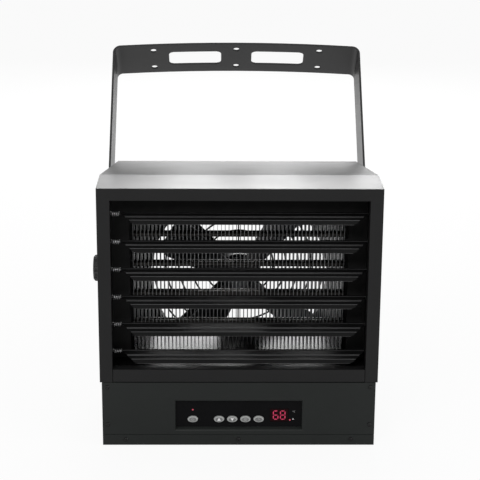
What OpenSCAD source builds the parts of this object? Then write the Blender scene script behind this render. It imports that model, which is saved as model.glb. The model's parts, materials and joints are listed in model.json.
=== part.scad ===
// Ceiling mounted fan heater.
// Origin: middle of the underside of the tray. +Z is up, the louvres face -Y.
// "d" is a depth measured back from the front face of the bezel.

/* [Cabinet] */
// Width across the cabinet
case_w = 368; // [340:1:410]
// Height from the tray's underside to the top
case_h = 355; // [340:1:390]
// Depth from the bezel's face to the rear panel
case_d = 270; // [250:1:310]
// Depth of the straight part behind the bezel
front_d = 72; // [60:1:90]
// How much the rear end is narrower than the front, on each side
rear_taper = 11.5; // [4:0.5:20]
// How much the top drops from the fold to the rear end
rear_drop = 30; // [10:1:40]
// Sheet thickness of the cabinet
sheet = 1.5; // [1:0.1:2]
// Height of the louvre bezel
bezel_h = 265; // [255:1:285]
// How much the lower case is narrower than the upper, on each side
lower_inset = 2.5; // [2:0.5:5]

/* [Bezel] */
// Width of each upright of the bezel
jamb_w = 17; // [14:0.5:22]
// Height of the top rail of the bezel
top_rail = 16; // [12:0.5:20]
// Height of the sill under the louvres
sill_h = 18; // [14:0.5:20]
// Depth of the folded edge around the opening
return_d = 12; // [8:1:14]

/* [Louvres] */
// Number of louvres
louvre_n = 6; // [6]
// Distance from one louvre rod to the next
louvre_pitch = 38.2; // [37:0.1:40]
// Depth of the louvre rods
rod_d = 36; // [34:1:38]
// Radius of the louvre rods
rod_r = 1.6; // [1.2:0.1:1.8]
// Length of a blade from its rod to its lip
blade_l = 30; // [26:1:31]
// Height of the lip at the front of a blade
lip_h = 6.5; // [4:0.5:8]
// Sheet thickness of a blade
blade_t = 1; // [0.8:0.1:1.2]
// How far each blade end slants inwards
blade_slant = 14; // [8:1:20]
// Room at the left of each blade for its spring
spring_room = 12.5; // [10:0.5:16]

/* [Louvre springs] */
// Radius of the middle of the spring wire
coil_r = 2.6; // [2.4:0.05:3]
// Radius of the spring wire
wire_r = 0.55; // [0.35:0.05:0.6]
// Number of turns in each spring
coil_turns = 4; // [3:1:5]

/* [Heating element] */
// Number of fin plates
fin_n = 56; // [40:1:60]
// Thickness of a fin plate
fin_t = 0.6; // [0.4:0.1:1]
// Depth of the front edge of the fins
fin_d = 95; // [80:1:100]
// Length of a fin from front to back
fin_l = 40; // [36:1:46]
// Radius of the heating tubes
tube_r = 3.5; // [3:0.25:5]
// Number of heating tubes, one above another
tube_rows = 4; // [4]
// Distance from one tube to the next, up the fins
tube_pitch = 42.2; // [36:0.2:44]
// Distance between the front and rear legs of a tube
leg_gap = 20; // [16:1:22]
// How much lower the rear leg of a tube is than the front one
leg_drop = 4; // [0:0.5:5]
// Width of the air duct
duct_w = 290; // [270:1:300]

/* [Fan] */
// Radius of the fan opening in the rear panel
orifice_r = 129; // [120:1:134]
// Gap between the blade tips and the opening
tip_gap = 5; // [3:0.5:8]
// Fan axis to the right of the middle
fan_x = 3; // [0:1:8]
// Height of the fan axis
fan_z = 158; // [150:1:164]
// Number of fan blades
fan_n = 4; // [3:1:5]
// Pitch of the fan blades
fan_pitch = 35; // [24:1:38]
// Width of a fan blade at its root, seen along the axis
blade_root_w = 23; // [16:1:30]
// Width of a fan blade at its tip, seen along the axis
blade_tip_w = 50; // [40:1:60]
// Radius of the motor shaft
shaft_r = 4; // [3:0.25:5]
// Radius of the motor
motor_r = 32; // [28:1:38]
// Length of the motor can
motor_l = 40; // [36:1:50]

/* [Guard] */
// How far the wire guard stands out behind the rear panel
guard_out = 36; // [34:1:44]
// Radius of the guard wires
guard_wire_r = 1.3; // [1:0.1:1.6]
// Number of rings in the guard
guard_rings = 7; // [5:1:9]

/* [Bracket] */
// Distance from the pivot to the crossbar
bracket_l = 350; // [330:1:380]
// Width of the bracket's strip
strip_w = 78; // [60:1:80]
// Thickness of the bracket's strip
strip_t = 3; // [2.5:0.5:4]
// How far the bracket leans back
lean = 42; // [0:1:60]
// Depth of the pivots
pivot_d = 222; // [200:1:230]
// Height of the pivots
pivot_z = 177.5; // [165:0.5:185]
// Gap from the cabinet's widest place to each arm
arm_gap = 1; // [1:0.5:6]
// Outer radius of the bracket's bends
bend_r = 12; // [9:0.5:16]
// Rise of the crossbar's middle above its ends
crossbar_rise = 6.5; // [3:0.5:10]
// Diameter of the mounting holes
hole_dia = 10; // [8:0.5:11]
// Distance from the middle to the outer pairs of holes
hole_x = 127; // [110:1:135]
// Distance between the two holes of a pair
hole_gap = 47; // [34:1:52]
// Length of the long slots
slot_l = 80; // [60:1:84]
// Width of the long slots
slot_w = 36; // [20:1:40]
// Distance from the middle to the middle of each slot
slot_x = 63.5; // [56:0.5:68]

/* [Knobs] */
// Radius of the hand knobs
knob_r = 19; // [16:0.5:22]
// Thickness of the hand knobs
knob_h = 14; // [12:0.5:18]
// Radius of the knobs' studs
stud_r = 5; // [4:0.5:6]
// Number of grips round a knob
knob_lobes = 12; // [8:1:16]

/* [Control panel] */
// Width of the display window
window_w = 168; // [160:1:180]
// Height of the display window
window_h = 38.5; // [34:0.5:42]
// Height of the window's middle
window_z = 43.7; // [42:0.1:47]
// Depth of the display panel behind the front
recess_d = 6; // [4:0.5:8]
// Width of a button
button_w = 13.6; // [10:0.2:15]
// Height of a button
button_h = 10.2; // [8:0.2:11]
// How far a button can be pressed
button_travel = 1; // [0.6:0.1:1.5]
// Height of the tray's lip
lip_z = 15; // [12:0.5:18]

/* [Hidden] */
$fn = 48;

eps = 0.01;
front = -case_d / 2;                       // Y of the bezel's face
half_w = case_w / 2;
split_z = case_h - bezel_h;                // height of the seam under the bezel
taper_per_d = rear_taper / (case_d - front_d);
drop_per_d = rear_drop / (case_d - front_d);
lower_w = half_w - lower_inset;
open_half = half_w - jamb_w;
open_top = case_h - top_rail;
sill_top = split_z + sill_h;
rail_x = open_half + sheet;                // inner face of each louvre rail
rod_top_z = case_h - 43.4;                 // height of the top rod
hem_r = rod_r + 0.05 + blade_t;            // outside of a blade's rolled hem
deck_z = sill_top - sheet;                 // top face of the control box deck
deck_d = 140;                              // depth of the deck's rear edge
duct_d0 = 50;                              // front of the duct surround
duct_top = case_h - 45;
duct_t = 1.2;
fin_pitch = (duct_w - 4) / (fin_n - 1);
fin_z0 = deck_z + 1;
fin_z1 = duct_top - 3;
tube_z0 = case_h - 218;                    // height of the lowest tube's front leg
blade_d = case_d - 40;                     // depth of the middle of the fan blades
motor_d0 = blade_d + 14;                   // front end of the motor
guard_d = case_d + guard_out;
fan_r = orifice_r - tip_gap;
arm_in = half_w + arm_gap;                 // inner face of each bracket arm
arm_out = arm_in + strip_t;
bar_r = (pow(arm_out, 2) + pow(crossbar_rise, 2)) / (2 * crossbar_rise);
washer_t = 1;
fit = 0.05;                                // running clearance on a radius
gap = 0.3;                                 // gap between parts that move past each other
button_x = [-61.3, -26.2, -8.6, 9, 26.8];
button_z = case_h - 319.5;
led_x = [-61.3, 68.5, 72.8];
led_z = [case_h - 306.4, case_h - 321.2, case_h - 320.2];
led_r = 1.1;
digits_x = 54.2;
digits_z = case_h - 314.3;
digits_w = 24;
digits_h = 18;
board_d = recess_d + 10;

black = [0.09, 0.09, 0.09];
steel = [0.62, 0.63, 0.65];
dark_steel = [0.25, 0.25, 0.26];

function half_at(d) = half_w - max(0, d - front_d) * taper_per_d;
function top_at(d) = case_h - max(0, d - front_d) * drop_per_d;
function rod_z(i) = rod_top_z - (i - 1) * louvre_pitch;

// A box given by its X range, depth range and Z range.
module block(x0, x1, d0, d1, z0, z1)
    translate([x0, front + d0, z0]) cube([x1 - x0, d1 - d0, z1 - z0]);

// A cylinder along Y, from one depth to another.
module along_y(x, z, r, d0, d1)
    translate([x, front + d0, z]) rotate([-90, 0, 0]) cylinder(r = r, h = d1 - d0);

// A cylinder along X.
module along_x(x0, x1, d, z, r)
    translate([x0, front + d, z]) rotate([0, 90, 0]) cylinder(r = r, h = x1 - x0);

// Depths where the case's outline turns, between d0 and d1.
function turns(d0, d1) = [d0, if (d0 < front_d && front_d < d1) front_d, d1];
function backwards(v) = [for (i = [len(v) - 1 : -1 : 0]) v[i]];

// The plan outline of the case, drawn in by "in", as a solid from z0 to z1.
module plan(in, d0, d1, z0, z1)
    translate([0, front, z0]) linear_extrude(z1 - z0)
        polygon([for (d = turns(d0, d1)) [in - half_at(d), d],
                 for (d = backwards(turns(d0, d1))) [half_at(d) - in, d]]);

// Everything under the top's fold line, drawn in by "in".
module under_top(in, d0, d1, z0)
    translate([-half_w - 10, front, 0]) rotate([90, 0, 90]) linear_extrude(case_w + 20)
        polygon([[d0, z0], for (d = turns(d0, d1)) [d, top_at(d) - in], [d1, z0]]);

module hood(in, d0, d1, z0)
    intersection() {
        plan(in, d0, d1, z0 - 1, case_h + 1);
        under_top(in, d0, d1, z0);
    }

// ---- cabinet ----

side_screw_d = [30, 130, 240];             // depths of the screws along each side's lower edge
side_screw_z = split_z + 8;
screw_r = 1.6;                             // clearance holes and shanks of the M3 screws
head_r = 2.8;
head_h = 1.9;
boss_neck_r = 9;
boss_r = 16;

module cabinet() color(black)
    difference() {
        hood(0, sheet, case_d, split_z);
        hood(sheet, sheet - 1, case_d + 1, split_z - 1);
        along_x(-case_w, case_w, pivot_d, pivot_z, boss_neck_r);
        side_screw_holes();
    }

module side_screw_holes()
    for (s = [-1, 1], d = side_screw_d)
        on_side(s, d, side_screw_z) translate([0, 0, -10]) cylinder(r = screw_r, h = 20);

// The two panels below the cabinet, set in a little, with a joggled flange that goes up
// inside the cabinet's side.
module lower_sides() color(black)
    difference() {
        union() {
            difference() {
                plan(lower_inset, sheet, case_d, 0, split_z);
                plan(lower_inset + sheet, 0, case_d + 1, -1, case_h);
            }
            difference() {
                plan(sheet, 24, case_d - 14, split_z - sheet, split_z + 16);
                plan(2 * sheet, 0, case_d, split_z, case_h);
                plan(lower_inset + sheet, 0, case_d, 0, case_h);
            }
        }
        side_screw_holes();
        block(-half_w, half_w, -1, case_d + 1, -1, 0.2);
    }

tray_screw_x = [-150.5, 0, 150.5];
tray_screw_z = 8.5;

// Base plate with a lip folded up all round. The front lip spans the whole width.
module bottom_tray() color(black)
    difference() {
        union() {
            plan(lower_inset + sheet + fit, sheet, case_d - sheet, 0, lip_z);
            block(-lower_w, lower_w, 0, sheet, 0, lip_z);
        }
        plan(lower_inset + 2 * sheet, sheet, case_d - 2 * sheet, sheet, lip_z + 1);
        for (x = tray_screw_x) along_y(x, tray_screw_z, screw_r, -1, 5);
    }

// ---- front ----

module front_bezel() color(black)
    difference() {
        union() {
            block(-half_w, half_w, 0, sheet, split_z, case_h);
            // outer edge folded back inside the cabinet
            difference() {
                block(-half_w + sheet, half_w - sheet, sheet, 20, split_z + 20, case_h - sheet);
                block(-half_w + 2 * sheet, half_w - 2 * sheet, 0, 21, 0, case_h - 2 * sheet);
            }
            // folded edge round the opening
            difference() {
                block(-open_half - sheet, open_half + sheet, sheet, return_d, split_z, open_top + sheet);
                block(-open_half, open_half, 0, return_d + 1, 0, open_top);
            }
        }
        block(-open_half, open_half, -1, return_d + 1, split_z - 1, open_top);
    }

// Folded channel that closes the opening below the lowest louvre.
module sill() color(black)
    difference() {
        block(-open_half + 0.4, open_half - 0.4, 0.5, 16, split_z + 0.5, sill_top);
        block(-case_w, case_w, 0.5 + sheet, 17, split_z, sill_top - sheet);
    }

// ---- louvres ----

// Upright strip that the rods turn in, folded outwards at its rear edge.
module louvre_rail(s)
    mirror([s > 0 ? 0 : 1, 0, 0])
        difference() {
            union() {
                block(rail_x, rail_x + sheet, sheet, duct_d0, deck_z, open_top);
                block(rail_x, half_w - 2 * sheet - 1, duct_d0 - sheet, duct_d0, deck_z, open_top);
            }
            for (i = [1 : louvre_n])
                along_x(0, case_w, rod_d, rod_z(i), rod_r + fit);
        }
module louvre_rail_left() color(dark_steel) louvre_rail(-1);
module louvre_rail_right() color(dark_steel) louvre_rail(1);

blade_x0 = -rail_x + spring_room;          // left end of a blade, at its rod
blade_x1 = rail_x - gap;                   // right end of a blade, at its rod

// Section of a blade across its length: a hem rolled round the rod, a gentle rise to a ridge,
// a short step down and a flat to the lip. The rod is at (0, 0), the blade reaches along +X.
module blade_section() {
    ridge = blade_l * 0.58;
    foot = ridge + 0.8;
    lean_in = 0.58 * blade_t;              // keeps the step as thick as the flats
    difference() {
        union() {
            circle(r = hem_r);
            polygon([[0, blade_back], [ridge, blade_high], [foot, blade_low], [blade_l, blade_front],
                     [blade_l, blade_front - blade_t], [foot - lean_in, blade_low - blade_t],
                     [ridge - lean_in, blade_high - blade_t], [0, blade_back - blade_t]]);
        }
        circle(r = rod_r + fit);
    }
}
blade_back = 1.6;                          // tops of the blade above the rod's middle:
blade_high = 2;                            // at the rod, at the ridge,
blade_low = 0.6;                           // at the foot of the step
blade_front = 0.4;                         // and at the lip

// The lip at the front edge, seen from the front, with ends drawn in by two slants.
module blade_lip() {
    x0 = blade_x0 + blade_slant;
    x1 = blade_x1 - blade_slant;
    ends = [[0, 0], [lip_h * 0.4, -lip_h * 0.6], [lip_h * 1.2, -lip_h]];
    polygon(concat([for (e = ends) [x0 + e[0], blade_front + e[1]]],
                   [for (i = [2 : -1 : 0]) [x1 - ends[i][0], blade_front + ends[i][1]]]));
}

module louvre(i) color(black)
    translate([0, front + rod_d, rod_z(i)]) {
        intersection() {
            translate([-half_w, 0, 0]) rotate([90, 0, 90]) linear_extrude(case_w)
                mirror([1, 0]) blade_section();
            translate([0, 0, -20]) linear_extrude(40)
                polygon([[blade_x0, hem_r + 1], [blade_x0, -hem_r],
                         [blade_x0 + blade_slant, -blade_l - eps], [blade_x1 - blade_slant, -blade_l - eps],
                         [blade_x1, -hem_r], [blade_x1, hem_r + 1]]);
        }
        translate([0, blade_t - blade_l, 0]) rotate([90, 0, 0]) linear_extrude(blade_t) blade_lip();
    }

module louvre_rod(i) color(dark_steel)
    along_x(-rail_x - sheet - 1.5, rail_x + sheet + 1.5, rod_d, rod_z(i), rod_r);

// ---- louvre springs: real helices, each one unbroken tube ----

coil_len = spring_room - 2 * gap;
coil_ring = 8;                             // rings per turn
coil_side = 6;                             // sides of the wire
wire_d = 2 * wire_r;

// Middle line of a spring along X: a straight end, the turns, a straight end.
function coil_points() = let (n = coil_turns * coil_ring, run = coil_len - 2 * wire_d)
    concat([[0, 0, coil_r]],
           [for (k = [0 : n]) [wire_d + run * k / n, coil_r * sin(360 * k / coil_ring),
                               coil_r * cos(360 * k / coil_ring)]],
           [[coil_len, 0, coil_r]]);

function unit(v) = v / norm(v);

// Direction of the line at point i, halfway between the stretches before and after it.
function heading(p, i) = let (n = len(p) - 1)
    unit((i < n ? unit(p[i + 1] - p[i]) : [0, 0, 0]) + (i > 0 ? unit(p[i] - p[i - 1]) : [0, 0, 0]));

// A ring of the tube round point p, square to direction t.
function ring_at(p, t, k) = let (side = unit(cross(t, unit([0, p[1], p[2]]))), up = cross(side, t))
    [for (j = [0 : k - 1]) p + wire_r * (cos(360 * j / k) * up + sin(360 * j / k) * side)];

module tube(p, k) {
    n = len(p);
    sides = [for (i = [0 : n - 2], j = [0 : k - 1]) let (a = i * k + j, b = i * k + (j + 1) % k)
             each [[a, b + k, b], [a, a + k, b + k]]];
    ends = [for (j = [1 : k - 2]) each [[0, j, j + 1], [(n - 1) * k, (n - 1) * k + j + 1, (n - 1) * k + j]]];
    polyhedron(points = [for (i = [0 : n - 1]) each ring_at(p[i], heading(p, i), k)],
               faces = concat(sides, ends));
}

// Least gap from the wire of one turn to the next, measured on the spring's points.
spring_gap = let (p = coil_points())
    min([for (i = [0 : len(p) - 1], j = [i : len(p) - 1])
         if (j - i >= coil_ring / 2 + 1) norm(p[i] - p[j])]) - wire_d;
echo(spring_gap = spring_gap);

module louvre_springs() color([0.55, 0.55, 0.56])
    for (i = [1 : louvre_n])
        translate([-rail_x + gap, front + rod_d, rod_z(i)]) tube(coil_points(), coil_side);

// ---- air duct and heating element ----

function leg_d(leg) = fin_d + fin_l / 2 + (leg - 0.5) * leg_gap;
function tube_z(row, leg) = tube_z0 + row * tube_pitch - leg * leg_drop;

// Front plate round the duct, and the duct's top and sides, which carry the tubes.
module duct_surround() color(black)
    difference() {
        union() {
            block(-half_w + 2 * sheet + 0.5, half_w - 2 * sheet - 0.5, duct_d0, duct_d0 + duct_t,
                  deck_z, case_h - 2 * sheet - 0.5);
            block(-duct_w / 2 - duct_t, duct_w / 2 + duct_t, duct_d0, deck_d, deck_z, duct_top + duct_t);
        }
        block(-duct_w / 2, duct_w / 2, 0, case_d, 0, duct_top);
        for (row = [0 : tube_rows - 1], leg = [0, 1])
            along_x(-case_w, case_w, leg_d(leg), tube_z(row, leg), tube_r + fit);
    }

// Roof and back wall of the control box. The duct stands on the roof.
module control_box_deck() color(black) {
    roof_w = lower_w - 2 * sheet - 0.5;
    wall_w = half_at(deck_d) - lower_inset - 2 * sheet - 0.5;
    block(-roof_w, roof_w, return_d + gap, duct_d0 + duct_t, deck_z - sheet, deck_z);
    block(-wall_w, wall_w, return_d + gap, deck_d, deck_z - sheet, deck_z);
    block(-wall_w, wall_w, deck_d - sheet, deck_d, sheet, deck_z);
}

module element_fins() color(steel)
    for (n = [0 : fin_n - 1])
        translate([-duct_w / 2 + 2 + n * fin_pitch - fin_t / 2, 0, 0])
            rotate([90, 0, 90]) linear_extrude(fin_t)
                difference() {
                    translate([front + fin_d, fin_z0]) square([fin_l, fin_z1 - fin_z0]);
                    for (row = [0 : tube_rows - 1], leg = [0, 1])
                        translate([front + leg_d(leg), tube_z(row, leg)]) circle(r = tube_r + fit);
                }

// One hairpin in each row: two legs joined by a bend on the right, pins on the left.
pin_l = 12;
module element_tubes() color(dark_steel) {
    x0 = -duct_w / 2 - 10;
    x1 = duct_w / 2 + 4;
    span = norm([leg_gap, leg_drop]);
    for (row = [0 : tube_rows - 1])
        translate([0, front + leg_d(0.5), tube_z(row, 0.5)]) rotate([-atan(leg_drop / leg_gap), 0, 0]) {
            for (y = [-span / 2, span / 2]) {
                translate([x0, y, 0]) rotate([0, 90, 0]) cylinder(r = tube_r, h = x1 - x0);
                translate([x0 - pin_l, y, 0]) rotate([0, 90, 0]) cylinder(r = tube_r * 0.45, h = pin_l);
            }
            translate([x1, 0, 0]) rotate([0, 0, -90])
                rotate_extrude(angle = 180) translate([span / 2, 0]) circle(r = tube_r);
        }
}

// Snap disc on top of the duct, on a foot, with two tabs.
module thermal_cutout() color([0.8, 0.78, 0.72]) {
    z = duct_top + duct_t;
    block(-52, -18, 108, 122, z, z + 1);
    translate([-35, front + 115, z + 1]) cylinder(r = 8, h = 6);
    for (x = [-39, -31]) block(x - 3, x + 3, 114.6, 115.4, z + 7, z + 14);
}

// ---- rear panel, fan and motor ----

// Outline of the rear panel: inside the cabinet above the seam, inside the lower sides below it.
module rear_outline(in, d0, d1)
    union() {
        intersection() {
            plan(sheet + fit + in, d0, d1, split_z + in, case_h);
            under_top(sheet + fit + in, d0, d1, 0);
        }
        plan(lower_inset + sheet + fit + in, d0, d1, sheet + in, split_z + 2 * in + 1);
    }

flange_d = 12;
collar_d = 20;
mouth = 4;                                 // how far the fan ring widens at its rear end
ring_flange = 10;

module rear_panel() color(black)
    difference() {
        union() {
            rear_outline(0, case_d - sheet, case_d);
            // edge folded forwards, above the tray's lip
            difference() {
                rear_outline(0, case_d - flange_d, case_d - sheet);
                rear_outline(sheet, case_d - flange_d - 1, case_d);
                block(-half_w, half_w, 0, case_d, 0, lip_z + 2);
            }
        }
        along_y(fan_x, fan_z, orifice_r + mouth + sheet + fit, case_d - collar_d, case_d + 1);
        along_y(gland_x, gland_z, gland_r + fit, case_d - 20, case_d + 1);
        for (a = clip_at)
            along_y(fan_x + clip_r * cos(a), fan_z + clip_r * sin(a), screw_r, case_d - 20, case_d + 1);
    }

// Ring that the fan turns in: a collar that widens to the rear, with a flange against the
// inside of the rear panel.
module fan_ring() color(black)
    difference() {
        union() {
            along_y(fan_x, fan_z, orifice_r + sheet, case_d - collar_d, case_d);
            along_y(fan_x, fan_z, orifice_r + mouth + ring_flange, case_d - 2 * sheet, case_d - sheet);
            flare(sheet, 0);
        }
        along_y(fan_x, fan_z, orifice_r, case_d - collar_d - 1, case_d + 1);
        flare(0, 1);
    }

// The widening mouth of the fan ring.
module flare(out, past)
    translate([fan_x, front + case_d - mouth, fan_z]) rotate([-90, 0, 0])
        cylinder(r1 = orifice_r + out, r2 = orifice_r + out + mouth + past, h = mouth + past);

// Corner of a blade's tip: an arc of points, on the side s.
function tip_corner(s) = [for (i = [0 : 6]) let (a = s > 0 ? i * 15 : i * 15 - 90)
    [fan_r - tip_round * (1 - cos(a)), s * (blade_tip_w / 2 - tip_round) + tip_round * sin(a)]];

// One blade: a curved sheet tilted to its pitch and cut to its outline.
module blade()
    intersection() {
        rotate([fan_pitch, 0, 0]) translate([0, 0, -blade_curve]) rotate([0, 90, 0])
            difference() {
                cylinder(r = blade_curve + fan_t / 2, h = fan_r, $fn = 180);
                translate([0, 0, -1]) cylinder(r = blade_curve - fan_t / 2, h = fan_r + 2, $fn = 180);
            }
        translate([0, 0, -40]) linear_extrude(80)
            intersection() {
                circle(r = fan_r, $fn = 120);
                polygon(concat([[6, blade_root_w / 3], [6, -blade_root_w / 3], [20, -blade_root_w / 2]],
                               tip_corner(-1), tip_corner(1), [[20, blade_root_w / 2]]));
            }
    }
fan_t = 1.5;                               // sheet thickness of a fan blade
tip_round = 14;
blade_curve = 110;
fan_rest = 35;                             // where the first blade stands when the fan is still
hub_disc_r = 24;
hub_neck_r = 8;

// The fan's axis is local Z here and points to the rear.
module on_fan_axis() translate([fan_x, front + blade_d, fan_z]) rotate([-90, 0, 0]) children();

module fan_blades() color([0.3, 0.3, 0.31])
    on_fan_axis() difference() {
        union() {
            translate([0, 0, -1]) cylinder(r = hub_disc_r, h = 2);
            for (n = [0 : fan_n - 1]) rotate([0, 0, fan_rest + n * 360 / fan_n]) blade();
        }
        translate([0, 0, -40]) cylinder(r = hub_neck_r + fit, h = 80);
        translate([0, 0, -40]) cylinder(r = hub_disc_r * 0.6, h = 39);
        translate([0, 0, 1]) cylinder(r = hub_disc_r * 0.6, h = 39);
    }

module fan_hub() color(steel)
    on_fan_axis() difference() {
        union() {
            translate([0, 0, -11]) cylinder(r = hub_disc_r * 0.5, h = 10);
            translate([0, 0, -1]) cylinder(r = hub_neck_r, h = 6);
        }
        translate([0, 0, -12]) cylinder(r = shaft_r, h = 30);
        // grub screw hole
        translate([0, 0, -6]) rotate([0, 90, 0]) cylinder(r = 2, h = 20);
    }

module motor_shaft() color(steel)
    along_y(fan_x, fan_z, shaft_r, blade_d - 13, motor_d0 + motor_l + 1.5);

// Motor can with stepped end bells and a bore for the shaft.
module fan_motor() color(dark_steel)
    difference() {
        union() {
            along_y(fan_x, fan_z, motor_r - 4, motor_d0, motor_d0 + motor_l);
            along_y(fan_x, fan_z, motor_r, motor_d0 + 7, motor_d0 + motor_l - 7);
            along_y(fan_x, fan_z, motor_r * 0.34, motor_d0 - 3, motor_d0 + motor_l);
        }
        along_y(fan_x, fan_z, shaft_r + fit, motor_d0 - 5, motor_d0 + motor_l + 5);
        for (a = [0 : 30 : 330])
            translate([fan_x, front + motor_d0 + 4, fan_z]) rotate([0, a, 0])
                translate([motor_r - 12, -6, -2]) cube([5, 8, 4]);
    }

mount_d = motor_d0 + motor_l;              // front face of the mount's plate
mount_t = 2;
mount_w = 12;                              // width of each bent arm
foot_l = 9;                                // length of each foot on the rear panel
foot_r = orifice_r + 7;

// Plate on the motor's rear end with four bent arms to the rear panel.
module motor_mount() color(black)
    difference() {
        union() {
            along_y(fan_x, fan_z, motor_r - 6, mount_d, mount_d + mount_t);
            for (a = [45 : 90 : 315])
                translate([fan_x, front, fan_z]) rotate([0, a, 0]) {
                    translate([0, mount_d, -mount_w / 2]) cube([foot_r + mount_t, mount_t, mount_w]);
                    translate([foot_r, case_d, -mount_w / 2])
                        cube([mount_t, mount_d - case_d, mount_w]);
                    translate([foot_r, case_d, -mount_w / 2]) cube([foot_l, mount_t, mount_w]);
                }
        }
        along_y(fan_x, fan_z, shaft_r + 4, mount_d - 1, mount_d + mount_t + 1);
        for (a = [0 : 90 : 270])
            rotate_about_fan(a) along_y_local(motor_r - 13, 2, mount_d - 1, mount_d + mount_t + 1);
    }

module rotate_about_fan(a) translate([fan_x, front, fan_z]) rotate([0, a, 0]) children();
module along_y_local(x, r, d0, d1) translate([x, d0, 0]) rotate([-90, 0, 0]) cylinder(r = r, h = d1 - d0);

guard_r = orifice_r + 18;
guard_step = 19;
guard_flat_r = orifice_r - 2;              // where the guard bends towards the panel
guard_ring_d = case_d + 2 * guard_wire_r;  // depth of the outer ring's middle

// Depth of the guard's face at a radius.
function guard_at(r) = r <= guard_flat_r ? guard_d
    : guard_d - (guard_d - guard_ring_d) * (r - guard_flat_r) / (guard_r - guard_flat_r);

// Wire guard: round rings laid on bent radial bars.
module fan_guard() color(dark_steel)
    translate([fan_x, front, fan_z]) {
        for (k = [0 : guard_rings - 1]) let (r = guard_r - k * guard_step)
            translate([0, guard_at(r), 0]) rotate([-90, 0, 0])
                rotate_extrude($fn = 96) translate([r, 0]) circle(r = guard_wire_r, $fn = 16);
        for (a = [0 : 45 : 315]) rotate([0, a, 0])
            translate([0, -guard_wire_r * 1.2, -guard_wire_r * 0.8])
                linear_extrude(guard_wire_r * 1.6) guard_bar();
    }

// Outline of one radial bar: radius across, depth up.
module guard_bar() {
    inner = guard_r - (guard_rings - 1) * guard_step - 1;
    w = guard_wire_r * 0.8;
    polygon([[inner, guard_d - w], [guard_flat_r, guard_d - w], [guard_r + 1, guard_ring_d - w],
             [guard_r + 1, guard_ring_d + w], [guard_flat_r, guard_d + w], [inner, guard_d + w]]);
}

clip_at = [30, 150, 210, 330];
clip_r = guard_r + 9;
clip_t = 1.2;
clip_w = 10;
clip_step = guard_r + 2.8;                 // radius of each clip's upright

// Bent clips that hold the guard's outer ring.
module guard_clips() color(dark_steel)
    for (a = clip_at) translate([fan_x, front, fan_z]) rotate([0, -a, 0])
        difference() {
            union() {
                translate([guard_r - 4, case_d + 3 * guard_wire_r, -clip_w / 2]) cube([8, clip_t, clip_w]);
                translate([clip_step, case_d, -clip_w / 2])
                    cube([clip_t, 3 * guard_wire_r + clip_t, clip_w]);
                translate([clip_step, case_d, -clip_w / 2]) cube([12, clip_t, clip_w]);
            }
            along_y_local(clip_r, screw_r, case_d - 1, case_d + 5);
        }

// ---- power inlet ----

gland_x = -146;
gland_z = 36;
gland_r = 11;
cable_r = 6.5;

module gland_hex(r, d0, d1) translate([gland_x, front + d0, gland_z]) rotate([-90, 0, 0])
    cylinder(r = r, h = d1 - d0, $fn = 6);

module cable_gland() color([0.12, 0.12, 0.12])
    difference() {
        union() {
            along_y(gland_x, gland_z, gland_r, case_d - 12, case_d + 2);
            gland_hex(gland_r + 4.5, case_d, case_d + 6);
            along_y(gland_x, gland_z, gland_r + 1, case_d + 6, case_d + 16);
        }
        along_y(gland_x, gland_z, cable_r, case_d - 20, case_d + 20);
    }

module gland_nut() color(steel)
    difference() {
        gland_hex(gland_r + 4.5, case_d - sheet - 5, case_d - sheet);
        along_y(gland_x, gland_z, gland_r + fit, case_d - 20, case_d + 1);
    }

// ---- control panel ----

window_z0 = window_z - window_h / 2;
window_z1 = window_z + window_h / 2;
window_x = window_w / 2;

// An ellipse, as a smooth outline of short sides.
module oval(w, h) polygon([for (a = [0 : 10 : 350]) [w / 2 * cos(a), h / 2 * sin(a)]]);

// An oval across the front at a button's place, from one depth to another.
module oval_at(x, grow, d0, d1)
    translate([x, front + d1, button_z]) rotate([90, 0, 0]) linear_extrude(d1 - d0)
        oval(button_w + 2 * grow, button_h + 2 * grow);

module control_panel() color(black)
    difference() {
        union() {
            block(-lower_w, lower_w, 0, sheet, lip_z + gap, split_z - gap);
            for (s = [-1, 1])
                block(min(s * (lower_w - sheet), s * (lower_w - 2 * sheet)),
                      max(s * (lower_w - sheet), s * (lower_w - 2 * sheet)),
                      sheet, 20, lip_z + 2, split_z - 2);
            // folded edge round the window
            block(-window_x - sheet, window_x + sheet, sheet, recess_d, window_z0 - sheet, window_z1 + sheet);
        }
        block(-window_x, window_x, -1, recess_d + 1, window_z0, window_z1);
        for (p = panel_screw_at) along_y(p[0], p[1], screw_r, -1, 5);
    }
panel_screw_at = [for (x = [-174.5, 174.5], z = [case_h - 325, case_h - 271.5]) [x, z]];

panel_t = 2;                               // thickness of the display panel
panel_edge = 5;                            // how far the display panel reaches past the window
post_r = 3;                                // posts between the display panel and its board
post_in = 4;                               // and how far they stand inside the window's edge

module display_panel() color([0.03, 0.03, 0.035])
    difference() {
        union() {
            block(-window_x - panel_edge, window_x + panel_edge, recess_d, recess_d + panel_t,
                  window_z0 - panel_edge, window_z1 + panel_edge);
            for (x = [-1, 1], z = [-1, 1])
                along_y(x * (window_x - post_in), window_z + z * (window_h / 2 - post_in), post_r,
                        recess_d + panel_t, board_d);
        }
        for (x = button_x) oval_at(x, gap, recess_d - 1, recess_d + panel_t + 1);
        block(digits_x - digits_w / 2 - gap, digits_x + digits_w / 2 + gap,
              recess_d - 1, recess_d + panel_t + 1,
              digits_z - digits_h / 2 - gap, digits_z + digits_h / 2 + gap);
        for (i = [0 : 2])
            along_y(led_x[i], led_z[i], led_r + fit, recess_d - 1, recess_d + panel_t + 1);
    }

module digit_display() color([0.12, 0.02, 0.03])
    block(digits_x - digits_w / 2, digits_x + digits_w / 2, recess_d + 0.2, board_d,
          digits_z - digits_h / 2, digits_z + digits_h / 2);

module indicator_leds() color([0.7, 0.1, 0.1])
    for (i = [0 : 2]) along_y(led_x[i], led_z[i], led_r, recess_d - 0.2, board_d);

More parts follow.
